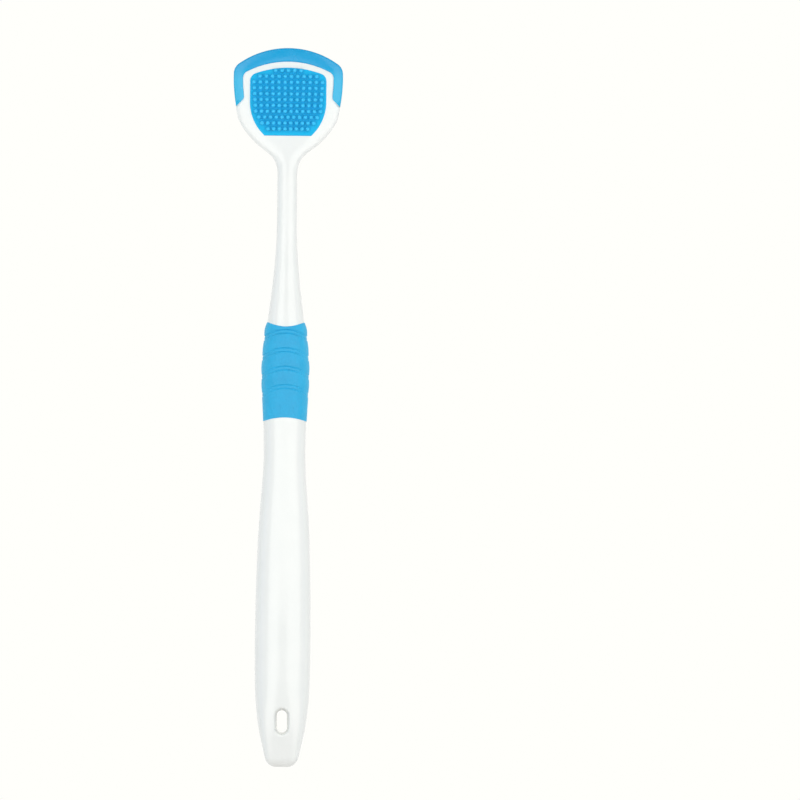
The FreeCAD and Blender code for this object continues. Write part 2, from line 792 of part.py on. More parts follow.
pieces = [rigid, lip, nubs, sleeve]
for item in doc.Objects:
    if "Invalid" in item.State or "Error" in item.State:
        raise RuntimeError(f"{item.Name} did not build: {item.State}")
for piece in pieces:
    if piece.Shape.isNull() or not piece.Shape.isValid():
        raise RuntimeError(f"{piece.Label} has no valid shape")
os.makedirs("parts", exist_ok=True)
for piece in pieces:
    piece.Shape.exportStep(f"parts/{piece.Label}.step")
    print(piece.Label, len(piece.Shape.Solids), "solid", round(piece.Shape.Volume, 1), "mm3")
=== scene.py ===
# Tongue scraper seen from above: white moulded handle, blue soft lip, nub pad and grip sleeve.
import math
import bmesh
import bpy
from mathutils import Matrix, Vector


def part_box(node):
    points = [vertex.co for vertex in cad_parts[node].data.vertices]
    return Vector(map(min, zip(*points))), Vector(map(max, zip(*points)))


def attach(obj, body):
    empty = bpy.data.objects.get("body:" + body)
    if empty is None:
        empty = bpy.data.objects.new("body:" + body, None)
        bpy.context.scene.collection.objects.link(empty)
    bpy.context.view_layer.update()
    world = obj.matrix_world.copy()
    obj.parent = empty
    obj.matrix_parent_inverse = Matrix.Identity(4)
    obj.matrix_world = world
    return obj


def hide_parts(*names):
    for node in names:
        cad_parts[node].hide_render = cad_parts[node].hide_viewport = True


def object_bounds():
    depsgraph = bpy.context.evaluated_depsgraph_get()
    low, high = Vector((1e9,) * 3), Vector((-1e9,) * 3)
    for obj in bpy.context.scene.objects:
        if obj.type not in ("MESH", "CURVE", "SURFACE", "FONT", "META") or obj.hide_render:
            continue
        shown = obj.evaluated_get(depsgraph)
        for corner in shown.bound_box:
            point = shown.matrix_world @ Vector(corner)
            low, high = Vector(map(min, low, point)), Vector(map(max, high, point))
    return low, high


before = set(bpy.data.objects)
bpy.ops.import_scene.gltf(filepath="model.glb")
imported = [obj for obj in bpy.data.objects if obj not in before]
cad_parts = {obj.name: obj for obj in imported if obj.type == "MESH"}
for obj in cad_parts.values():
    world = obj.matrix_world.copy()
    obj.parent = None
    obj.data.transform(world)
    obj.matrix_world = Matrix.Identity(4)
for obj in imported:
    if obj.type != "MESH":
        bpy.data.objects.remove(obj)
cadLow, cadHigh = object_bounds()
mm = 0.001
mergeGap = 0.0005 * mm


def linearColour(hexText):
    # sRGB hex to the linear colour that shaders take
    parts = [int(hexText[i:i + 2], 16) / 255 for i in (1, 3, 5)]
    return tuple(p / 12.92 if p <= 0.04045 else ((p + 0.055) / 1.055) ** 2.4 for p in parts) + (1.0,)


def addNode(tree, kind, inputs=None, **settings):
    # inputs are socket names or numbers, each given a value or another node's output
    node = tree.nodes.new(kind)
    for name, value in settings.items():
        setattr(node, name, value)
    for name, value in (inputs or {}).items():
        if isinstance(value, bpy.types.NodeSocket):
            tree.links.new(value, node.inputs[name])
        else:
            node.inputs[name].default_value = value
    return node


def newMaterial(name):
    material = bpy.data.materials.new(name)
    material.use_nodes = True
    material.node_tree.nodes.clear()
    return material, material.node_tree


def newPiece(name, vertices, faces, material):
    # vertices in millimetres, faces turned outwards and shaded smooth
    mesh = bpy.data.meshes.new(name)
    mesh.from_pydata([Vector(v) * mm for v in vertices], [], faces)
    work = bmesh.new()
    work.from_mesh(mesh)
    bmesh.ops.remove_doubles(work, verts=work.verts, dist=mergeGap)
    bmesh.ops.recalc_face_normals(work, faces=work.faces)
    work.to_mesh(mesh)
    work.free()
    mesh.polygons.foreach_set("use_smooth", [True] * len(mesh.polygons))
    mesh.materials.append(material)
    piece = bpy.data.objects.new(name, mesh)
    bpy.context.scene.collection.objects.link(piece)
    return piece


def keepResult(piece, modifier):
    # the modifier's result as a plain mesh, with the modifier gone
    bpy.context.view_layer.update()
    evaluated = piece.evaluated_get(bpy.context.evaluated_depsgraph_get())
    mesh = bpy.data.meshes.new_from_object(evaluated)
    mesh.name = piece.name
    piece.modifiers.remove(modifier)
    piece.data = mesh


def bakeNodes(piece, tree, values):
    # runs a node tree on the piece with the given values
    modifier = piece.modifiers.new(tree.name, "NODES")
    modifier.node_group = tree
    for item in tree.interface.items_tree:
        if item.in_out == "INPUT" and item.name in values:
            modifier[item.identifier] = values[item.name]
    keepResult(piece, modifier)


def standFor(piece, node):
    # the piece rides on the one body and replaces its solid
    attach(piece, "root")
    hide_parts(node)
    print("made", piece.name, len(piece.data.polygons), "faces")


# outlines: arcs and rings in millimetres

def arcPoints(centre, radius, start, end, steps):
    # angles in degrees, both ends included
    angles = [math.radians(start + (end - start) * i / steps) for i in range(steps + 1)]
    return [Vector((centre[0] + radius * math.cos(a), centre[1] + radius * math.sin(a))) for a in angles]


def bearing(centre, place):
    return math.degrees(math.atan2(place[1] - centre[1], place[0] - centre[0]))


def rightMeeting(centre, radius, other, otherRadius):
    # where two circles cross, on the side with the larger X
    across = Vector(other) - Vector(centre)
    along = (radius ** 2 - otherRadius ** 2 + across.length ** 2) / (2 * across.length)
    foot = Vector(centre) + across.normalized() * along
    step = Vector((-across.y, across.x)).normalized() * math.sqrt(radius ** 2 - along ** 2)
    return max(foot + step, foot - step, key=lambda place: place.x)


def bridgeRings(rings, closed):
    # joins rows of equal length with quads, each row closed on itself if asked
    faces = []
    for r in range(len(rings) - 1):
        for i in range(len(rings[r]) - (0 if closed else 1)):
            j = (i + 1) % len(rings[r])
            faces.append((rings[r][i], rings[r][j], rings[r + 1][j], rings[r + 1][i]))
    return faces


# materials: the mould's marks in millimetres, and two colours, deep and pale
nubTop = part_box("nub_pad")[1].z / mm
finishes = {
    # polished steel leaves a faint orange peel
    "polished": {
        "grain": 1.6, "depth": 0.02, "patch": 7.0, "roughness": 0.16, "drift": 0.03,
        "colours": ("#F2F3EF", "#F7F7F3"),
    },
    # spark-eroded steel leaves a grain of 0.1 mm or less, drawn coarser so that it shows
    "matt": {
        "grain": 0.9, "depth": 0.2, "patch": 3.0, "roughness": 0.55, "drift": 0.06,
        "colours": ("#22B1DE", "#34C1EB"),
    },
    # painted light: the rubber turns from deep to pale between two places along an axis; the lip's pale
    # limbs are a painted reflection of the side softboxes
    "satin": {
        "grain": 0.8, "depth": 0.008, "patch": 3.0, "roughness": 0.24, "drift": 0.04,
        "colours": ("#0AA4DA", "#28B8E4"), "shine": 0.5,
        "axis": "Y", "deepPlace": 90.5, "paintedLightPlace": 86.5,
    },
    # painted light: the nubs' pale tips are a painted highlight, their deep roots and the slab a painted
    # shade between the nubs
    "thin": {
        "grain": 0.6, "depth": 0.006, "patch": 2.0, "roughness": 0.3, "drift": 0.05,
        "colours": ("#02B9EA", "#36C4F7"), "shine": 0.25,
        "axis": "Z", "deepPlace": nubTop - 1.3, "paintedLightPlace": nubTop,
    },
}


def mouldSkin(tree, finish):
    # what the mould leaves: a fine grain, and patches in which the gloss and colour drift
    noiseLow, noiseHigh = 0.3, 0.7  # most of the noise lies between these
    place = addNode(tree, "ShaderNodeTexCoord").outputs["Object"]
    grain = addNode(tree, "ShaderNodeTexNoise", {
        "Vector": place, "Scale": 1 / (finish["grain"] * mm), "Detail": 1.0})
    bump = addNode(tree, "ShaderNodeBump", {"Height": grain.outputs[0], "Distance": finish["depth"] * mm})
    patches = addNode(tree, "ShaderNodeTexNoise", {"Vector": place, "Scale": 1 / (finish["patch"] * mm)})
    gloss = addNode(tree, "ShaderNodeMapRange", {
        "Value": patches.outputs[0], "From Min": noiseLow, "From Max": noiseHigh,
        "To Min": finish["roughness"] - finish["drift"], "To Max": finish["roughness"] + finish["drift"],
    })
    return {
        "place": place, "patches": patches.outputs[0],
        "shader": {"Normal": bump.outputs[0], "Roughness": gloss.outputs[0]},
    }


def paintSkin(tree, finish, skin, share, shaderValues):
    # the finish's two colours, mixed by a share from 0 to 1, under the skin
    deep, pale = finish["colours"]
    colour = addNode(tree, "ShaderNodeMix", {
        0: share, 6: linearColour(deep), 7: linearColour(pale)}, data_type="RGBA")
    shader = addNode(tree, "ShaderNodeBsdfPrincipled", {
        "Base Color": colour.outputs[2], **skin["shader"], **shaderValues})
    addNode(tree, "ShaderNodeOutputMaterial", {"Surface": shader.outputs["BSDF"]})


def mouldedPolypropylene():
    # glossy white polypropylene from a polished mould: bright and milky, with soft clear highlights
    material, tree = newMaterial("moulded polypropylene, polished")
    skin = mouldSkin(tree, finishes["polished"])
    paintSkin(tree, finishes["polished"], skin, skin["patches"], {"IOR": 1.49})
    return material


def mattThermoplasticRubber():
    # blue thermoplastic rubber from a spark-eroded mould: dull, dry and faintly mottled
    material, tree = newMaterial("moulded thermoplastic rubber, matt")
    skin = mouldSkin(tree, finishes["matt"])
    paintSkin(tree, finishes["matt"], skin, skin["patches"], {"IOR": 1.5, "Diffuse Roughness": 0.9})
    return material


def rubberWithPaintedLight(name):
    # the same rubber with painted light: painted paler on the lip's limbs as a painted reflection and on
    # the nub tips as a painted highlight, with painted shade at the nub roots and on the slab
    finish = finishes[name]
    material, tree = newMaterial(f"moulded thermoplastic rubber, {name}")
    skin = mouldSkin(tree, finish)
    along = addNode(tree, "ShaderNodeSeparateXYZ", {0: skin["place"]})
    # painted light: the colour goes from deep to pale between the two places along the axis
    share = addNode(tree, "ShaderNodeMapRange", {
        "Value": along.outputs[finish["axis"]],
        "From Min": finish["deepPlace"] * mm, "From Max": finish["paintedLightPlace"] * mm,
    })
    paintSkin(tree, finish, skin, share.outputs[0], {"Specular IOR Level": finish["shine"]})
    return material


polypropylene = mouldedPolypropylene()
mattRubber = mattThermoplasticRubber()
# painted light: the lip's limbs carry a painted reflection, the nubs a painted highlight at their tips and
# painted shade at their roots
lipRubberPaintedReflection = rubberWithPaintedLight("satin")
nubRubberPaintedLight = rubberWithPaintedLight("thin")
print("mixed", len(finishes), "finishes")


# cross-sections: ovals of a given width, thickness and rise of the underside along the tool
wide, thick, risen = 1, 2, 3  # columns of a section after its place


def ovalPoints(count, squareness):
    # closed cubic curve with eight poles: 0.707 gives an ellipse, 1 a rectangle
    cornerPole = (6 * squareness - 1.5) / 3.5
    sidePole = (3 - cornerPole) / 2
    poles = []
    for step in range(8):
        angle = step * math.pi / 4
        reach = cornerPole * math.sqrt(2) if step % 2 else sidePole
        poles.append(Vector((reach * math.cos(angle), reach * math.sin(angle))))
    points = []
    for i in range(count):
        span, f = divmod(8 * i / count, 1)
        weights = ((1 - f) ** 3, 3 * f ** 3 - 6 * f ** 2 + 4, -3 * f ** 3 + 3 * f ** 2 + 3 * f + 1, f ** 3)
        near = [poles[(int(span) + k - 1) % 8] for k in range(4)]
        points.append(sum((pole * w / 6 for pole, w in zip(near, weights)), Vector((0, 0))))
    return points


def between(sections, y, column):
    # smooth run through the sections, level at a crest
    places = [s[0] for s in sections]
    values = [s[column] for s in sections]
    rates = [(values[i + 1] - values[i]) / (places[i + 1] - places[i]) for i in range(len(places) - 1)]
    slopes = [rates[0]]
    for i in range(1, len(places) - 1):
        before, after = places[i] - places[i - 1], places[i + 1] - places[i]
        mean = (rates[i - 1] * after + rates[i] * before) / (before + after)
        limit = 3 * min(abs(rates[i - 1]), abs(rates[i])) if rates[i - 1] * rates[i] > 0 else 0
        slopes.append(math.copysign(min(abs(mean), limit), mean))
    slopes.append(rates[-1])
    i = max(k for k in range(len(places) - 1) if places[k] <= y or k == 0)
    run = places[i + 1] - places[i]
    t = (y - places[i]) / run
    return (values[i] * (1 + 2 * t) * (1 - t) ** 2 + values[i + 1] * t * t * (3 - 2 * t)
            + run * (slopes[i] * t * (1 - t) ** 2 + slopes[i + 1] * t * t * (t - 1)))


# handle: the frame's own head and neck, and a shaft with a softly sloped tail, sizes in millimetres
shaft = {
    # place along the tool, width, thickness and rise of the underside
    "sections": [
        (-95.0, 7.75, 7.6, 1.2), (-83.2, 12.8, 10.0, 0.35), (-75.0, 14.35, 10.8, 0.08),
        (-62.0, 14.7, 11.0, 0.0), (-33.0, 13.5, 10.4, 0.12), (-11.6, 11.0, 9.4, 0.4),
        (-2.6, 11.35, 9.5, 0.45), (21.35, 9.9, 8.45, 0.7),
    ],
    "squareness": 0.745, "cut": 6.0, "rings": 250, "sides": 128, "roundSteps": 8,
    "tailRound": 2.4, "slopeHeight": 6.6, "slopeTop": 11.0, "slopeLength": 17.5, "slopeBlend": 1.6,
    "slotPlace": -82.95, "slotLength": 5.9, "slotWidth": 2.65, "slotSteps": 16,
    "mouthRound": 1.0, "mouthDepth": 3.2, "footRound": 0.4,
}


def makeHead():
    # the frame's solid from under the sleeve to its tip, closed at the cut, with its own smooth normals
    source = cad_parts["handle"].data
    normals = {}
    for corner, normal in zip(source.loops, source.corner_normals):
        place = source.vertices[corner.vertex_index].co
        normals.setdefault(place.copy().freeze(), []).append(normal.vector.copy())
    work = bmesh.new()
    work.from_mesh(source)
    bmesh.ops.remove_doubles(work, verts=work.verts, dist=mergeGap)
    bmesh.ops.bisect_plane(work, geom=[*work.verts, *work.edges, *work.faces],
                           plane_co=(0, shaft["cut"] * mm, 0), plane_no=(0, -1, 0), clear_outer=True)
    bmesh.ops.holes_fill(work, edges=[edge for edge in work.edges if edge.is_boundary])
    mesh = bpy.data.meshes.new("handleHead")
    work.to_mesh(mesh)
    work.free()
    mesh.polygons.foreach_set("use_smooth", [True] * len(mesh.polygons))
    kept = []
    for polygon in mesh.polygons:
        for index in polygon.vertices:
            found = normals.get(mesh.vertices[index].co.copy().freeze(), [polygon.normal])
            kept.append(max(found, key=polygon.normal.dot))
    mesh.normals_split_custom_set(kept)
    mesh.materials.clear()
    mesh.materials.append(polypropylene)
    piece = bpy.data.objects.new("handleHead", mesh)
    bpy.context.scene.collection.objects.link(piece)
    standFor(piece, "handle")


def slopeAt(y):
    tail = shaft["sections"][0][0]
    gain = (shaft["slopeTop"] - shaft["slopeHeight"]) / shaft["slopeLength"]
    return shaft["slopeHeight"] + (y - tail) * gain


def underSlope(z, y, inset):
    # the lower of a height and the tail's slope, blended softly where they meet
    slope = slopeAt(y) - inset
    share = min(max(0.5 + 0.5 * (slope - z) / shaft["slopeBlend"], 0), 1)
    return slope + (z - slope) * share - shaft["slopeBlend"] * share * (1 - share)


def slotCutter():
    # the hang slot with a rounded mouth and foot, as a closed form to cut with
    mouth, deep, foot = shaft["mouthRound"], shaft["mouthDepth"], shaft["footRound"]
    half = shaft["slotWidth"] / 2
    run = shaft["slotLength"] / 2 - half
    steps = shaft["roundSteps"]
    turns = [math.pi / 2 * i / steps for i in range(steps + 1)]
    # how far the wall flares, its level, and whether that is from the top face or the underside
    levels = [(foot, -2 * foot, False)]
    levels += [(foot - foot * math.cos(a), foot - foot * math.sin(a), False) for a in reversed(turns)]
    levels += [(mouth - mouth * math.cos(a), deep * math.sin(a) - deep, True) for a in turns]
    levels.append((mouth, 2 * mouth, True))
    vertices = []
    rings = []
    for flare, level, top in levels:
        ring = []
        for end, start in ((1, 0), (-1, 180)):
            centre = (0, shaft["slotPlace"] + end * run)
            for p in arcPoints(centre, half + flare, start, start + 180, shaft["slotSteps"]):
                rise = between(shaft["sections"], p.y, risen)
                face = underSlope(rise + between(shaft["sections"], p.y, thick), p.y, 0)
                ring.append(len(vertices))
                vertices.append((p.x, p.y, level + (face if top else rise)))
        rings.append(ring)
    faces = bridgeRings(rings, closed=True) + [tuple(rings[0]), tuple(rings[-1])]
    return newPiece("slotCutter", vertices, faces, polypropylene)


def makeShaft():
    tail = shaft["sections"][0][0]
    steps, rounding = shaft["roundSteps"], shaft["tailRound"]
    # places along the tool and inset from the sections, from the rounded tail to the cut
    stations = [(tail + rounding - rounding * math.cos(a), rounding - rounding * math.sin(a))
                for a in [math.pi / 2 * i / steps for i in range(steps)]]
    first = tail + rounding
    reach = shaft["cut"] - first
    stations += [(first + reach * i / shaft["rings"], 0.0) for i in range(shaft["rings"] + 1)]
    vertices = []
    rings = []
    for y, inset in stations:
        width = between(shaft["sections"], y, wide) - 2 * inset
        depth = between(shaft["sections"], y, thick) - 2 * inset
        rise = between(shaft["sections"], y, risen) + inset
        ring = []
        for unit in ovalPoints(shaft["sides"], shaft["squareness"]):
            ring.append(len(vertices))
            z = underSlope(rise + depth / 2 * (1 + unit.y), y, inset)
            vertices.append((unit.x * width / 2, y, z))
        rings.append(ring)
    faces = bridgeRings(rings, closed=True) + [tuple(rings[0]), tuple(rings[-1])]
    piece = newPiece("handleShaft", vertices, faces, polypropylene)
    cutter = slotCutter()
    cut = piece.modifiers.new("slot", "BOOLEAN")
    cut.operation = "DIFFERENCE"
    cut.solver = "EXACT"
    cut.object = cutter
    keepResult(piece, cut)
    bpy.data.objects.remove(cutter)
    standFor(piece, "handle")


makeHead()
makeShaft()


# scraping lip: a soft bead between its inner and outer walls, sizes in millimetres
lip = {
    "headWidth": 28.7, "crown": 3.6, "side": 2.35, "sideRadius": 40.0, "widestFromTip": 8.0,
    "archRadius": 22.6, "innerArchRadius": 23.5, "cornerRadius": 3.2, "innerCornerRadius": 2.0,
    "length": 15.5, "endSlope": 45.0, "endRadius": 1.5, "sideProud": 0.1,
    "backRound": 0.8, "frontRound": 0.6, "crownDrop": 0.12, "limbSlope": 0.27,
    # shares of the width that the rounded edges may take, and of the outer wall beside the limb's end
    "backShare": 0.48, "frontShare": 0.3, "endShare": 0.3, "leastWidth": 0.0001,
    "roundSteps": 6, "crownSteps": 12,
}


def lipWalls():
    # matching points along the outer and the inner wall, from the tip of the right limb to the crown
    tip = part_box("scraper_lip")[1].y / mm
    side = Vector((lip["headWidth"] / 2 - lip["sideRadius"], tip - lip["widestFromTip"]))
    outerSide = lip["sideRadius"] + lip["sideProud"]
    innerSide = lip["sideRadius"] - lip["side"]
    outerArch = Vector((0, tip - lip["archRadius"]))
    innerArch = Vector((0, tip - lip["crown"] - lip["innerArchRadius"]))
    outerCorner = rightMeeting(outerArch, lip["archRadius"] - lip["cornerRadius"],
                               side, outerSide - lip["cornerRadius"])
    innerCorner = rightMeeting(innerArch, lip["innerArchRadius"] - lip["innerCornerRadius"],
                               side, innerSide - lip["innerCornerRadius"])
    endY = tip - lip["length"]
    end = Vector((side.x + math.sqrt(outerSide ** 2 - (endY - side.y) ** 2), endY))
    slope = math.radians(lip["endSlope"])
    outward = Vector((math.cos(slope), -math.sin(slope)))
    upward = Vector((math.sin(slope), math.cos(slope)))
    lift = (end - side).dot(upward) + lip["endRadius"]
    run = math.sqrt((innerSide + lip["endRadius"]) ** 2 - lift ** 2)
    knuckle = side + upward * lift + outward * run
    footOfEnd = knuckle - upward * lip["endRadius"]
    topOfEnd = side + (knuckle - side).normalized() * innerSide

    endSteps, kneeSteps, limbSteps, cornerSteps, archSteps = 6, 8, 16, 14, 36
    inner = [end.lerp(footOfEnd, i / endSteps) for i in range(endSteps + 1)]
    kneeStart = bearing(knuckle, footOfEnd)
    kneeTurn = (bearing(knuckle, topOfEnd) - kneeStart + 180) % 360 - 180
    inner += arcPoints(knuckle, lip["endRadius"], kneeStart, kneeStart + kneeTurn, kneeSteps)[1:]
    limbTop, archFoot = bearing(side, innerCorner), bearing(innerArch, innerCorner)
    inner += arcPoints(side, innerSide, bearing(side, topOfEnd), limbTop, limbSteps)[1:]
    inner += arcPoints(innerCorner, lip["innerCornerRadius"], limbTop, archFoot, cornerSteps)[1:]
    inner += arcPoints(innerArch, lip["innerArchRadius"], archFoot, 90, archSteps)[1:]

    # the outer wall slips past the limb's end while the inner one rounds it
    limbStart = bearing(side, end)
    limbEnd = bearing(side, outerCorner)
    early = limbStart + (limbEnd - limbStart) * lip["endShare"]
    outer = arcPoints(side, outerSide, limbStart, early, endSteps + kneeSteps)
    outer += arcPoints(side, outerSide, early, limbEnd, limbSteps)[1:]
    archStart = bearing(outerArch, outerCorner)
    outer += arcPoints(outerCorner, lip["cornerRadius"], limbEnd, archStart, cornerSteps)[1:]
    outer += arcPoints(outerArch, lip["archRadius"], archStart, 90, archSteps)[1:]
    return outer, inner


def lipSection(width, height, slope):
    # distance in from the outer wall and height, from the seam's foot round to the sloped, crowned top
    back = min(lip["backRound"], width * lip["backShare"])
    front = min(lip["frontRound"], width * lip["frontShare"])
    turn = [math.pi / 2 * i / lip["roundSteps"] for i in range(lip["roundSteps"] + 1)]
    steps = lip["crownSteps"]
    reaches = [front + (width - front) * i / steps for i in range(steps + 1)]
    top = [(reach, height - slope * (width - reach) - lip["crownDrop"] * (2 * reach / width - 1) ** 2)
           for reach in reaches]
    edge = top[0][1]
    ring = [(width, 0.0)]
    ring += [(back - back * math.sin(a), back - back * math.cos(a)) for a in turn]
    ring += [(front - front * math.cos(a), edge - front + front * math.sin(a)) for a in turn[:-1]]
    return ring + top


def makeLip():
    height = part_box("scraper_lip")[1].z / mm
    outer, inner = lipWalls()
    outer = outer + [Vector((-p.x, p.y)) for p in reversed(outer[:-1])]
    inner = inner + [Vector((-p.x, p.y)) for p in reversed(inner[:-1])]
    vertices = []
    rings = []
    for out, into in zip(outer, inner):
        width = max((into - out).length, lip["leastWidth"])
        across = (into - out) / width
        ring = []
        for reach, z in lipSection(width, height, lip["limbSlope"] * across.x ** 2):
            ring.append(len(vertices))
            place = out + across * reach
            vertices.append((place.x, place.y, z))
        rings.append(ring)
    faces = bridgeRings(rings, closed=True)
    # painted reflection: the lip's limbs are painted paler than its crown
    piece = newPiece("scraperLip", vertices, faces, lipRubberPaintedReflection)
    standFor(piece, "scraper_lip")


makeLip()


# nub pad: a thin slab in the head with rows of round-tipped nubs, sizes in millimetres
nubPad = {
    "topRadius": 25.0, "cornerRadius": 2.0, "cheekRadius": 12.0, "footWidth": 12.3,
    "edgeRound": 0.12, "shoulder": 0.3, "flatStart": 3.0,  # shares of the rounded edge
    "lap": 0.1, "lift": 0.12,  # the soft edge laps a little over its seat
    "arcSteps": 24, "cornerSteps": 8,
    "nubHeight": 1.3, "nubBaseRadius": 0.56, "nubTipRadius": 0.54, "nubRoot": 0.05,
    "nubSides": 10, "nubRings": 5, "roundStart": 0.82, "tipShare": 0.5, "nubMergeGap": 0.001,
    "firstRow": 1.82, "rowPitch": 1.54, "pitchLow": 1.5, "pitchHigh": 1.68,
    "nubsPerRow": [8, 10, 11, 12, 12, 12, 12, 12, 12, 10, 5],
}


def padOutline(inset):
    # from the middle of the foot round the right cheek to the top, and back on the left
    low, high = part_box("nub_pad")
    half, foot, top = high.x / mm, low.y / mm, high.y / mm
    topRadius, cornerRadius = nubPad["topRadius"], nubPad["cornerRadius"]
    cheekRadius = nubPad["cheekRadius"]
    arch = Vector((0, top - topRadius))
    cornerX = half - cornerRadius
    corner = Vector((cornerX, arch.y + math.sqrt((topRadius - cornerRadius) ** 2 - cornerX ** 2)))
    cheekX = half - cheekRadius
    cheek = Vector((cheekX, foot + math.sqrt(cheekRadius ** 2 - (nubPad["footWidth"] / 2 - cheekX) ** 2)))
    footEnd = Vector((nubPad["footWidth"] / 2 - inset, foot + inset))
    archStart = bearing(arch, corner)
    points = [Vector((0, foot + inset)), footEnd]
    points += arcPoints(cheek, cheekRadius - inset, bearing(cheek, footEnd), 0, nubPad["arcSteps"])[1:]
    points += arcPoints(corner, cornerRadius - inset, 0, archStart, nubPad["cornerSteps"])
    points += arcPoints(arch, topRadius - inset, archStart, 90, nubPad["arcSteps"])[1:]
    return points + [Vector((-p.x, p.y)) for p in reversed(points[1:-1])]


def makePadSlab():
    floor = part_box("nub_pad")[0].z / mm
    face = nubTop - nubPad["nubHeight"]
    edge = nubPad["edgeRound"]
    shoulder = edge * nubPad["shoulder"]
    # inset and height, from the underside over the rounded edge to the face
    levels = [(0, floor), (0, face - edge), (shoulder, face - shoulder), (edge, face),
              (edge * nubPad["flatStart"], face)]
    vertices = []
    rings = []
    for inset, z in levels:
        ring = []
        for p in padOutline(inset - nubPad["lap"]):
            ring.append(len(vertices))
            vertices.append((p.x, p.y + nubPad["lift"], z))
        rings.append(ring)
    faces = bridgeRings(rings, closed=True) + [tuple(rings[0]), tuple(rings[-1])]
    # painted shade: the slab takes the nub rubber's deep colour as shade between the nubs
    piece = newPiece("nubPadSlab", vertices, faces, nubRubberPaintedLight)
    standFor(piece, "nub_pad")


def nubPlaces():
    # rows from the foot of the pad to its top, spreading a little towards the top
    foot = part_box("nub_pad")[0].y / mm
    root = nubTop - nubPad["nubHeight"] - nubPad["nubRoot"]
    places = []
    for row, count in enumerate(nubPad["nubsPerRow"]):
        share = row / (len(nubPad["nubsPerRow"]) - 1)
        pitch = nubPad["pitchLow"] + (nubPad["pitchHigh"] - nubPad["pitchLow"]) * share
        y = foot + nubPad["firstRow"] + row * nubPad["rowPitch"]
        places += [((i - (count - 1) / 2) * pitch, y, root) for i in range(count)]
    return places


def nubTree():
    # one nub, rounded at its tip, set on every point
    tree = bpy.data.node_groups.new("nub field", "GeometryNodeTree")
    for name, kind in (("Geometry", "Geometry"), ("Base Radius", "Float"), ("Tip Radius", "Float"),
                       ("Height", "Float"), ("Round Start", "Float"), ("Tip Share", "Float"),
                       ("Merge Gap", "Float"), ("Sides", "Int"), ("Rings", "Int"),
                       ("Material", "Material")):
        tree.interface.new_socket(name, in_out="INPUT", socket_type=f"NodeSocket{kind}")
    tree.interface.new_socket("Geometry", in_out="OUTPUT", socket_type="NodeSocketGeometry")
    given = addNode(tree, "NodeGroupInput").outputs
    cone = addNode(tree, "GeometryNodeMeshCone", {
        "Vertices": given["Sides"], "Side Segments": given["Rings"], "Radius Top": given["Tip Radius"],
        "Radius Bottom": given["Base Radius"], "Depth": given["Height"],
    }, fill_type="NGON")
    position = addNode(tree, "GeometryNodeInputPosition")
    place = addNode(tree, "ShaderNodeSeparateXYZ", {0: position.outputs[0]})
    # rings crowd towards the tip, where the edge of the nub is rounded
    share = addNode(tree, "ShaderNodeMath", {
        0: place.outputs["Z"], 1: given["Height"]}, operation="DIVIDE")
    left = addNode(tree, "ShaderNodeMath", {0: 1.0, 1: share.outputs[0]}, operation="SUBTRACT")
    eased = addNode(tree, "ShaderNodeMath", {0: left.outputs[0], 1: 2.0}, operation="POWER")
    height = addNode(tree, "ShaderNodeMath", {0: 1.0, 1: eased.outputs[0]}, operation="SUBTRACT")
    past = addNode(tree, "ShaderNodeMapRange", {
        "Value": height.outputs[0], "From Min": given["Round Start"], "From Max": 1.0})
    square = addNode(tree, "ShaderNodeMath", {0: past.outputs[0], 1: 2.0}, operation="POWER")
    rest = addNode(tree, "ShaderNodeMath", {0: 1.0, 1: square.outputs[0]}, operation="SUBTRACT")
    curve = addNode(tree, "ShaderNodeMath", {0: rest.outputs[0]}, operation="SQRT")
    shrink = addNode(tree, "ShaderNodeMapRange", {"Value": curve.outputs[0], "To Min": given["Tip Share"]})
    x = addNode(tree, "ShaderNodeMath", {
        0: place.outputs["X"], 1: shrink.outputs[0]}, operation="MULTIPLY")
    y = addNode(tree, "ShaderNodeMath", {
        0: place.outputs["Y"], 1: shrink.outputs[0]}, operation="MULTIPLY")
    z = addNode(tree, "ShaderNodeMath", {0: height.outputs[0], 1: given["Height"]}, operation="MULTIPLY")
    dome = addNode(tree, "ShaderNodeCombineXYZ", {0: x.outputs[0], 1: y.outputs[0], 2: z.outputs[0]})
    moved = addNode(tree, "GeometryNodeSetPosition", {
        "Geometry": cone.outputs["Mesh"], "Position": dome.outputs[0]})
    closed = addNode(tree, "GeometryNodeMergeByDistance", {
        "Geometry": moved.outputs[0], "Distance": given["Merge Gap"]})
    smooth = addNode(tree, "GeometryNodeSetShadeSmooth", {"Geometry": closed.outputs[0]})
    spread = addNode(tree, "GeometryNodeInstanceOnPoints", {
        "Points": given["Geometry"], "Instance": smooth.outputs[0]})
    real = addNode(tree, "GeometryNodeRealizeInstances", {0: spread.outputs[0]})
    painted = addNode(tree, "GeometryNodeSetMaterial", {
        "Geometry": real.outputs[0], "Material": given["Material"]})
    addNode(tree, "NodeGroupOutput", {"Geometry": painted.outputs[0]})
    return tree


def makeNubs():
    # painted light: each nub is painted pale at its tip as a highlight and deep at its root as shade
    piece = newPiece("nubPadNubs", nubPlaces(), [], nubRubberPaintedLight)
    bakeNodes(piece, nubTree(), {
        "Base Radius": nubPad["nubBaseRadius"] * mm, "Tip Radius": nubPad["nubTipRadius"] * mm,
        "Height": (nubPad["nubHeight"] + nubPad["nubRoot"]) * mm,
        "Round Start": nubPad["roundStart"], "Tip Share": nubPad["tipShare"],
        "Merge Gap": nubPad["nubMergeGap"] * mm,
        "Sides": nubPad["nubSides"], "Rings": nubPad["nubRings"], "Material": nubRubberPaintedLight,
    })
    standFor(piece, "nub_pad")


makePadSlab()
makeNubs()


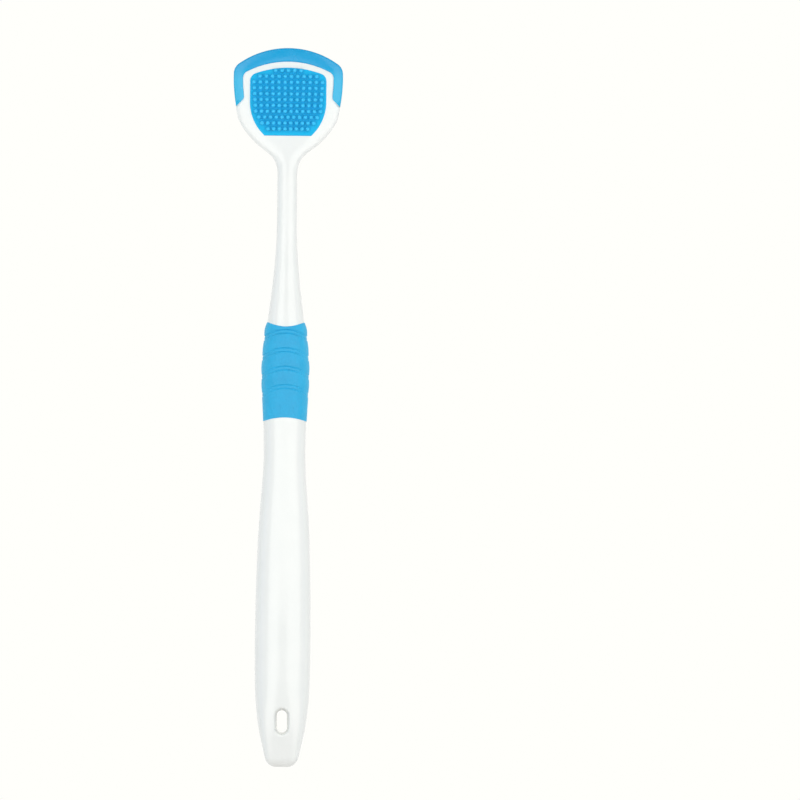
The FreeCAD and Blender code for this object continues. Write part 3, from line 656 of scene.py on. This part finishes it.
# grip sleeve: an oval tube with arched grooves, sizes in millimetres
sleeve = {
    "low": -2.6, "high": 21.35, "lowBend": 16.0, "highBend": 11.0, "squareness": 0.745,
    # place along the tool, width, thickness and rise of the underside
    "sections": [
        (-3.9, 11.45, 9.6, 0.4), (9.65, 12.55, 10.7, 0.2), (18.25, 11.4, 9.8, 0.4),
        (20.65, 10.95, 9.3, 0.5), (22.65, 9.7, 8.25, 0.8),
    ],
    "rimRound": 0.2, "rimSteps": 6, "lowRound": 0.06, "tuck": 1.2,
    "rings": 400, "sides": 128, "bendPasses": 3,
    "grooveFirst": 1.225, "groovePitch": 4.87, "grooveWidth": 0.95, "grooveDepth": 0.1, "grooveEdge": 0.2,
    "creaseDepth": 0.36, "grooveArch": 9.5, "grooveCount": 4, "pastLast": 0.2, "swell": 0.1,
    # shares of the depth: in the first and the last groove, in creases at the sides, and on the back
    "firstShare": 1.1, "lastShare": 0.6, "fadeStart": 2.4, "fadeEnd": 4.8, "fadeShare": 0.35,
    "backStart": -0.1, "backEnd": -0.5, "backShare": 0.3,
}


def grooveTree():
    # sinks arched grooves with a crease along both edges, and swells the bands between them
    tree = bpy.data.node_groups.new("arched grooves", "GeometryNodeTree")
    tree.interface.new_socket("Geometry", in_out="INPUT", socket_type="NodeSocketGeometry")
    for name in ("First Centre", "Half Pitch", "End", "Arch", "Half Width", "Edge", "Depth", "Crease",
                 "First Share", "Last Share", "Fade Start", "Fade End", "Fade Share",
                 "Back Start", "Back End", "Back Share", "Swell"):
        tree.interface.new_socket(name, in_out="INPUT", socket_type="NodeSocketFloat")
    tree.interface.new_socket("Material", in_out="INPUT", socket_type="NodeSocketMaterial")
    tree.interface.new_socket("Geometry", in_out="OUTPUT", socket_type="NodeSocketGeometry")
    given = addNode(tree, "NodeGroupInput").outputs
    position = addNode(tree, "GeometryNodeInputPosition")
    place = addNode(tree, "ShaderNodeSeparateXYZ", {0: position.outputs[0]})
    # how far below the arch of the first groove a point lies, and how far from the nearest groove
    across = addNode(tree, "ShaderNodeMath", {0: place.outputs["X"], 1: 2.0}, operation="POWER")
    reach = addNode(tree, "ShaderNodeMath", {0: given["Arch"], 1: 2.0}, operation="POWER")
    left = addNode(tree, "ShaderNodeMath", {
        0: reach.outputs[0], 1: across.outputs[0]}, operation="SUBTRACT")
    level = addNode(tree, "ShaderNodeMath", {0: left.outputs[0]}, operation="SQRT")
    arch = addNode(tree, "ShaderNodeMath", {0: level.outputs[0], 1: given["First Centre"]}, operation="ADD")
    below = addNode(tree, "ShaderNodeMath", {
        0: arch.outputs[0], 1: place.outputs["Y"]}, operation="SUBTRACT")
    held = addNode(tree, "ShaderNodeMath", {0: below.outputs[0], 1: given["End"]}, operation="MINIMUM")
    away = addNode(tree, "ShaderNodeMath", {
        0: held.outputs[0], 1: given["Half Pitch"]}, operation="PINGPONG")
    beside = addNode(tree, "ShaderNodeMath", {
        0: away.outputs[0], 1: given["Half Width"]}, operation="SUBTRACT")
    gap = addNode(tree, "ShaderNodeMath", {0: beside.outputs[0]}, operation="ABSOLUTE")
    groove = addNode(tree, "ShaderNodeMapRange", {
        "Value": beside.outputs[0], "From Min": 0.0, "From Max": given["Edge"],
        "To Min": given["Depth"], "To Max": 0.0,
    }, interpolation_type="SMOOTHSTEP")
    crease = addNode(tree, "ShaderNodeMapRange", {
        "Value": gap.outputs[0], "From Min": 0.0, "From Max": given["Edge"],
        "To Min": given["Crease"], "To Max": 0.0,
    }, interpolation_type="SMOOTHSTEP")
    swell = addNode(tree, "ShaderNodeMapRange", {
        "Value": away.outputs[0], "From Min": 0.0, "From Max": given["Half Pitch"],
        "To Min": 0.0, "To Max": given["Swell"],
    }, interpolation_type="SMOOTHSTEP")
    # grooves are deepest towards the neck, and their creases fade at the sides
    share = addNode(tree, "ShaderNodeMapRange", {
        "Value": below.outputs[0], "From Min": 0.0, "From Max": given["End"],
        "To Min": given["First Share"], "To Max": given["Last Share"],
    })
    side = addNode(tree, "ShaderNodeMath", {0: place.outputs["X"]}, operation="ABSOLUTE")
    fade = addNode(tree, "ShaderNodeMapRange", {
        "Value": side.outputs[0], "From Min": given["Fade Start"], "From Max": given["Fade End"],
        "To Min": 1.0, "To Max": given["Fade Share"],
    })
    # the wall is thin on the back, so the grooves are shallow there
    normal = addNode(tree, "GeometryNodeInputNormal")
    facing = addNode(tree, "ShaderNodeSeparateXYZ", {0: normal.outputs[0]})
    front = addNode(tree, "ShaderNodeMapRange", {
        "Value": facing.outputs["Z"], "From Min": given["Back End"], "From Max": given["Back Start"],
        "To Min": given["Back Share"], "To Max": 1.0,
    })
    faded = addNode(tree, "ShaderNodeMath", {
        0: crease.outputs[0], 1: fade.outputs[0]}, operation="MULTIPLY")
    both = addNode(tree, "ShaderNodeMath", {0: groove.outputs[0], 1: faded.outputs[0]}, operation="ADD")
    deep = addNode(tree, "ShaderNodeMath", {
        0: share.outputs[0], 1: front.outputs[0]}, operation="MULTIPLY")
    sunk = addNode(tree, "ShaderNodeMath", {
        0: both.outputs[0], 1: deep.outputs[0]}, operation="MULTIPLY")
    rise = addNode(tree, "ShaderNodeMath", {
        0: swell.outputs[0], 1: sunk.outputs[0]}, operation="SUBTRACT")
    shift = addNode(tree, "ShaderNodeVectorMath", {
        0: normal.outputs[0], "Scale": rise.outputs[0]}, operation="SCALE")
    moved = addNode(tree, "GeometryNodeSetPosition", {
        "Geometry": given["Geometry"], "Offset": shift.outputs[0]})
    real = addNode(tree, "GeometryNodeRealizeInstances", {0: moved.outputs[0]})
    painted = addNode(tree, "GeometryNodeSetMaterial", {
        "Geometry": real.outputs[0], "Material": given["Material"]})
    addNode(tree, "NodeGroupOutput", {"Geometry": painted.outputs[0]})
    return tree


def makeSleeve():
    low, high = sleeve["low"], sleeve["high"]
    steps = sleeve["rings"]
    # steps along the tool and inset from the outer form, from the low edge to the high one
    profile = [(0.0, sleeve["tuck"]), (0.0, sleeve["lowRound"]), (sleeve["lowRound"], 0.0)]
    start, end = sleeve["lowRound"] * 2, high - low - sleeve["rimRound"]
    profile += [(start + (end - start) * i / steps, 0.0) for i in range(steps + 1)]
    rim = sleeve["rimRound"]
    for i in range(1, sleeve["rimSteps"] + 1):
        a = math.pi / 2 * i / sleeve["rimSteps"]
        profile.append((end + rim * math.sin(a), rim * (1 - math.cos(a))))
    profile.append((high - low, sleeve["tuck"]))
    vertices = []
    rings = []
    for along, inset in profile:
        share = along / (high - low)
        ring = []
        for unit in ovalPoints(sleeve["sides"], sleeve["squareness"]):
            y = low + along
            # width and bend depend on each other, so they are found in a few passes
            for _ in range(sleeve["bendPasses"]):
                width = between(sleeve["sections"], y, wide) - 2 * inset
                x = unit.x * width / 2
                lowSag = math.sqrt(sleeve["lowBend"] ** 2 - x * x) - sleeve["lowBend"]
                highSag = sleeve["highBend"] - math.sqrt(sleeve["highBend"] ** 2 - x * x)
                y = low + along + lowSag * (1 - share) + highSag * share
            depth = between(sleeve["sections"], y, thick) - 2 * inset
            z = between(sleeve["sections"], y, risen) + inset + depth / 2 * (1 + unit.y)
            ring.append(len(vertices))
            vertices.append((x, y, z))
        rings.append(ring)
    faces = bridgeRings(rings + [rings[0]], closed=True)
    piece = newPiece("gripSleeve", vertices, faces, mattRubber)
    pitch = sleeve["groovePitch"]
    bakeNodes(piece, grooveTree(), {
        "First Centre": (high - sleeve["grooveFirst"] - sleeve["grooveArch"]) * mm,
        "End": (sleeve["grooveCount"] - 1 + sleeve["pastLast"]) * pitch * mm,
        "Half Pitch": pitch / 2 * mm, "Arch": sleeve["grooveArch"] * mm,
        "Half Width": sleeve["grooveWidth"] / 2 * mm, "Edge": sleeve["grooveEdge"] * mm,
        "Depth": sleeve["grooveDepth"] * mm, "Crease": sleeve["creaseDepth"] * mm,
        "First Share": sleeve["firstShare"], "Last Share": sleeve["lastShare"],
        "Fade Start": sleeve["fadeStart"] * mm, "Fade End": sleeve["fadeEnd"] * mm,
        "Fade Share": sleeve["fadeShare"], "Back Start": sleeve["backStart"], "Back End": sleeve["backEnd"],
        "Back Share": sleeve["backShare"], "Swell": sleeve["swell"] * mm, "Material": mattRubber,
    })
    standFor(piece, "grip_sleeve")


makeSleeve()


# stage: a glowing white table, dim daylight, softboxes overhead and upright cards, sizes in metres
stage = {
    "floorSize": 3.0, "floorGap": 0.00005, "floorColour": "#FFFFFB", "floorGlow": 1.0,
    "skyColour": "#DAE9FF", "skyStrength": 0.21, "softboxHeight": 0.6, "softboxColour": "#FFFEF9",
    # left, right, near and far edge and brightness of each softbox
    "softboxes": [
        (-0.48, -0.095, -0.42, 0.62, 2.08),
        (0.095, 0.75, -0.42, 0.62, 1.95),
        (-0.095, 0.095, -0.045, 0.05, 2.1),
    ],
    # degrees round the tool from its tail, brightness and colour of each card
    "cards": [(-90, 0.66, "#CFE5FF"), (90, 0.3, "#B4D6FF"), (0, 0.34, "#FFE6C6")],
    "cardDistance": 0.7, "cardWidth": 1.2, "cardHeight": 0.45,
}


def addSoftbox(width, length, colour, glow, place, turns):
    # a plain panel whose face has the given brightness
    data = bpy.data.lights.new("softbox", "AREA")
    data.shape = "RECTANGLE"
    data.size = width
    data.size_y = length
    data.energy = math.pi * width * length * glow
    data.color = linearColour(colour)[:3]
    light = bpy.data.objects.new("softbox", data)
    light.location = place
    light.rotation_euler = turns
    light.visible_camera = False
    bpy.context.scene.collection.objects.link(light)


def makeStage():
    half = stage["floorSize"] / 2
    mesh = bpy.data.meshes.new("table")
    corners = [(-half, -half), (half, -half), (half, half), (-half, half)]
    mesh.from_pydata([(x, y, cadLow.z - stage["floorGap"]) for x, y in corners], [], [(0, 1, 2, 3)])
    material, tree = newMaterial("back-lit opal acrylic")
    surface = addNode(tree, "ShaderNodeEmission", {
        "Color": linearColour(stage["floorColour"]), "Strength": stage["floorGlow"]})
    addNode(tree, "ShaderNodeOutputMaterial", {"Surface": surface.outputs[0]})
    mesh.materials.append(material)
    table = bpy.data.objects.new("table", mesh)
    bpy.context.scene.collection.objects.link(table)

    world = bpy.data.worlds.new("studio")
    world.use_nodes = True
    sky = world.node_tree.nodes["Background"]
    sky.inputs["Color"].default_value = linearColour(stage["skyColour"])
    sky.inputs["Strength"].default_value = stage["skyStrength"]
    bpy.context.scene.world = world

    for left, right, near, far, glow in stage["softboxes"]:
        place = ((left + right) / 2, (near + far) / 2, stage["softboxHeight"])
        addSoftbox(right - left, far - near, stage["softboxColour"], glow, place, (0, 0, 0))
    for turn, glow, colour in stage["cards"]:
        angle, away = math.radians(turn), stage["cardDistance"]
        place = (away * math.sin(angle), -away * math.cos(angle), stage["cardHeight"] / 2)
        addSoftbox(stage["cardWidth"], stage["cardHeight"], colour, glow, place, (math.pi / 2, 0, angle))
    print("set the stage")


makeStage()


# camera: straight down, at the photograph's framing
camera = {
    "distance": 4.0, "frameWidth": 0.2114, "besideAxis": 0.03035, "alongAxis": 0.00228,
    "focusHeight": 0.004, "turn": 0.573, "sensor": 36.0,
}


def makeCamera():
    data = bpy.data.cameras.new("camera")
    data.sensor_width = camera["sensor"]
    data.lens = camera["sensor"] * camera["distance"] / camera["frameWidth"]
    eye = bpy.data.objects.new("camera", data)
    height = camera["focusHeight"] + camera["distance"]
    eye.location = (camera["besideAxis"], camera["alongAxis"], height)
    eye.rotation_euler = (0, 0, math.radians(camera["turn"]))
    bpy.context.scene.collection.objects.link(eye)
    bpy.context.scene.camera = eye
    bpy.context.scene.view_settings.view_transform = "Standard"
    print("aimed the camera")


makeCamera()
